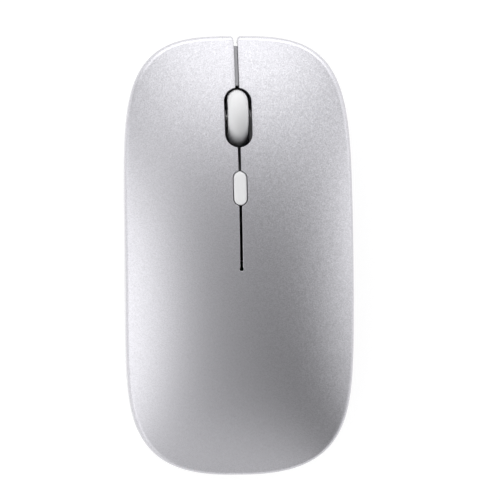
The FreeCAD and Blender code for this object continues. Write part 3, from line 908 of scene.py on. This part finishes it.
soft_white = grained("pale_rubber", (0.75, 0.75, 0.76), 0.65, grain=0.00022, depth=0.000006,
                     Colour_Shift=0.05)
wheel_tyre = tyre()
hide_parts("wheel_tyre")
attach(wheel_tyre, "wheel")
hub_plastic = grained("hub_plastic", (0.70, 0.70, 0.71), 0.38, grain=0.0003, depth=0.000006)
bright_steel = grained("bright_steel", (0.62, 0.61, 0.60), 0.24, grain=0.00006, depth=0.000002,
                       Stretch=(0.08, 1, 1),
                       Roughness_Shift=0.2, shader_values={"Metallic": 1.0})
dress(hub_plastic, "wheel_hub")
dress(bright_steel, "wheel_axle")


# --- Wheel carrier: a grey plastic fork that tilts on a steel pin ------------------------------
# Its two cheeks show beside the wheel; the lug on its right side presses the wheel switch.

carrier_plastic = grained("carrier_plastic", (0.35, 0.35, 0.36), 0.45, grain=0.0003, depth=0.000008)
dress(carrier_plastic, "wheel_carrier")
dress(bright_steel, "carrier_pin")


# --- Middle button: a white slot-shaped cap with a catch flange and a stem ----------------------
# Glossy moulded plastic; the cap's top is slightly crowned and stays flush with the cover.

CAP_W = 3.3
CAP_L = 8.55


def middle_cap():
    """Crowned cap on its flange and stem, as one closed solid of revolving outlines."""
    rings = []
    for depth, inset in ((3.0, 0), (0.6, 0), (0.34, 0.01), (0.2, 0.06), (0.12, 0.14), (0.08, 0.26),
                         (0.05, 0.5), (0.03, 0.85), (0.01, 1.25), (0.0, 1.55)):
        plan = rounded_plan(CAP_W - 2 * inset, CAP_L - 2 * inset, CAP_W / 2 - inset, 0, DPI_Y, 14)
        rings.append([(x, y, skin_z(x, y) - depth) for x, y in plan])
    piece = make_mesh("middle_cap", *stacked(rings), cap_white)
    low = skin_z(0, DPI_Y) - 2.9
    flange = plate(5.4, 8.9, 0.6, 0, DPI_Y, ((low, 0.1), (low + 0.1, 0), (low + 0.7, 0), (low + 0.8, 0.1)), 4)
    stem = plate(2.2, 5.2, 0.3, 0, 16.0, ((10.5, 0.2), (10.7, 0), (low + 0.4, 0)), 4)
    merged(piece, [flange, stem], "UNION")
    crease(piece, 40)
    return piece


cap_white = grained("cap_plastic", (0.78, 0.78, 0.79), 0.4, grain=0.0005, depth=0.000003, Colour_Shift=0.03,
                    shader_values={"Coat Weight": 0.1, "Coat Roughness": 0.2})
dpi_cap = middle_cap()
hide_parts("dpi_button")
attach(dpi_cap, "dpi_cap")
dark_plastic = grained("dark_plastic", (0.035, 0.035, 0.037), 0.48, grain=0.0003, depth=0.000008)
dress(dark_plastic, "dpi_guide")


# --- Click switches: two snap switches under the fingers, two push switches beside the wheel -----
# Black moulded bodies soldered to the board; all four are given the same pale plungers.

switch_black = grained("switch_body_plastic", (0.022, 0.022, 0.024), 0.35, grain=0.0002, depth=0.000004)
plunger_white = grained("plunger_nylon", (0.74, 0.73, 0.69), 0.42, grain=0.0002, depth=0.000003)
for place in ("left", "right", "wheel", "dpi"):
    dress(switch_black, place + "_switch_body")
    dress(plunger_white, place + "_switch_plunger")


# --- Main board: green fibreglass with its chips, crystal, small parts and wheel sensor pair -----
# Copper tracks show as paler lines under the solder mask; it is screwed to posts in the base.

TRACK_GAP = 0.0011


def board_mask():
    """Green solder mask over a net of tracks."""
    material, tree, shader = new_material("solder_mask")
    place = tree.nodes.new("ShaderNodeTexCoord")
    net = tree.nodes.new("ShaderNodeTexVoronoi")
    net.distance = "MANHATTAN"
    net.feature = "SMOOTH_F1"
    net.inputs["Scale"].default_value = 1 / (TRACK_GAP * 3)
    tree.links.new(place.outputs["Object"], net.inputs["Vector"])
    wave = add_math(tree, "FRACT", add_math(tree, "MULTIPLY", net.outputs["Distance"], 7.0))
    track = add_math(tree, "GREATER_THAN", wave, 0.55)
    colour = tree.nodes.new("ShaderNodeMix")
    colour.data_type = "RGBA"
    colour.inputs["A"].default_value = (0.012, 0.075, 0.03, 1)
    colour.inputs["B"].default_value = (0.03, 0.16, 0.06, 1)
    tree.links.new(track, colour.inputs["Factor"])
    tree.links.new(colour.outputs["Result"], shader.inputs["Base Color"])
    bump = tree.nodes.new("ShaderNodeBump")
    bump.inputs["Distance"].default_value = 0.00003
    tree.links.new(track, bump.inputs["Height"])
    tree.links.new(bump.outputs["Normal"], shader.inputs["Normal"])
    shader.inputs["Roughness"].default_value = 0.3
    return material


dress(board_mask(), "main_board")
dress(grained("chip_epoxy", (0.02, 0.02, 0.021), 0.5, grain=0.0001, depth=0.000006),
      "mcu_chip", "sensor_chip")
dress(bright_steel, "crystal")
dress(grained("ceramic_parts", (0.30, 0.22, 0.14), 0.45, grain=0.0001, depth=0.000004,
              Blotch_Size=0.002, Colour_Shift=0.5),
      "board_parts")
dress(grained("infrared_epoxy", (0.035, 0.012, 0.02), 0.12, grain=0.0004, depth=0.000001),
      "ir_emitter", "ir_detector")


# --- Sensor lens: a clear moulded lens in the floor window ---------------------------------------
# Polycarbonate; it snaps under the sensor chip and looks through a round well at the desk.

dress(grained("clear_lens", (0.86, 0.90, 0.92), 0.06, grain=0.0008, depth=0.000001, Colour_Shift=0.02,
              Roughness_Shift=0.02, shader_values={"Transmission Weight": 0.9, "IOR": 1.58}), "sensor_lens")


# --- Charging port: a drawn steel shell with a dark contact tongue --------------------------------
# It sits in the block at the front of the base; no cord is plugged in.

dress(bright_steel, "charging_port")
dress(dark_plastic, "port_tongue")


# --- Battery: a foil pouch cell with two leads and a plug on the board -----------------------------
# Crinkled silver foil, taped to the floor of the base.

pouch_foil = grained("pouch_foil", (0.66, 0.66, 0.68), 0.3, grain=0.0012, depth=0.00006, Blotch_Size=0.006,
                     Roughness_Shift=0.3, shader_values={"Metallic": 0.9})
dress(pouch_foil, "battery_cell")
dress(grained("lead_insulation", (0.45, 0.02, 0.015), 0.4, grain=0.0004, depth=0.000003), "battery_leads")
dress(plunger_white, "battery_header", "battery_plug")


# --- Power slider: a small ribbed slide in a slot of the underside ---------------------------------
# Black plastic; it moves 2.6 mm sideways over its switch.

dress(dark_plastic, "power_slider", "power_switch_body")


# --- Feet: two slippery pads glued under the base ---------------------------------------------------
# Cut from dark fluoroplastic sheet, with edges eased by use.

FOOT_EDGE = 0.16
glide_dark = grained("glide_sheet", (0.06, 0.06, 0.065), 0.3, grain=0.0006, depth=0.000004,
                     Stretch=(1, 0.15, 1),
                      Roughness_Shift=0.2)
for node, width, y in (("front_foot", 30.0, 41.0), ("rear_foot", 41.0, -38.0)):
    layers = [(FOOT_EDGE * (1 - math.cos(turn)), FOOT_EDGE * (1 - math.sin(turn)))
              for turn in (0, 0.4, 0.8, 1.2, math.pi / 2)]
    pad = make_mesh(node + "_pad", *plate(width, 5.4, 2.7, 0, y, [*layers, (FOOT_T, 0)]), glide_dark)
    crease(pad, 40)
    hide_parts(node)
    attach(pad, "root")


# --- Label: a blank silver rating plate in its recess ------------------------------------------------
# Thin brushed foil with rounded corners; nothing is printed on it.

dress(grained("label_foil", (0.70, 0.70, 0.71), 0.34, grain=0.00008, depth=0.000002, Stretch=(0.03, 1, 1),
              Roughness_Shift=0.2, shader_values={"Metallic": 0.8}), "label_plate")


# --- Screws: four long case screws from below, four short ones on the board ---------------------------
# Zinc-plated steel with cross recesses; the case screws run up into the cover's bosses.

dress(grained("zinc_plate", (0.52, 0.53, 0.55), 0.3, grain=0.00015, depth=0.000004, Blotch_Size=0.001,
              Colour_Shift=0.2, Roughness_Shift=0.25, shader_values={"Metallic": 1.0}),
      "case_screws", "board_screws")
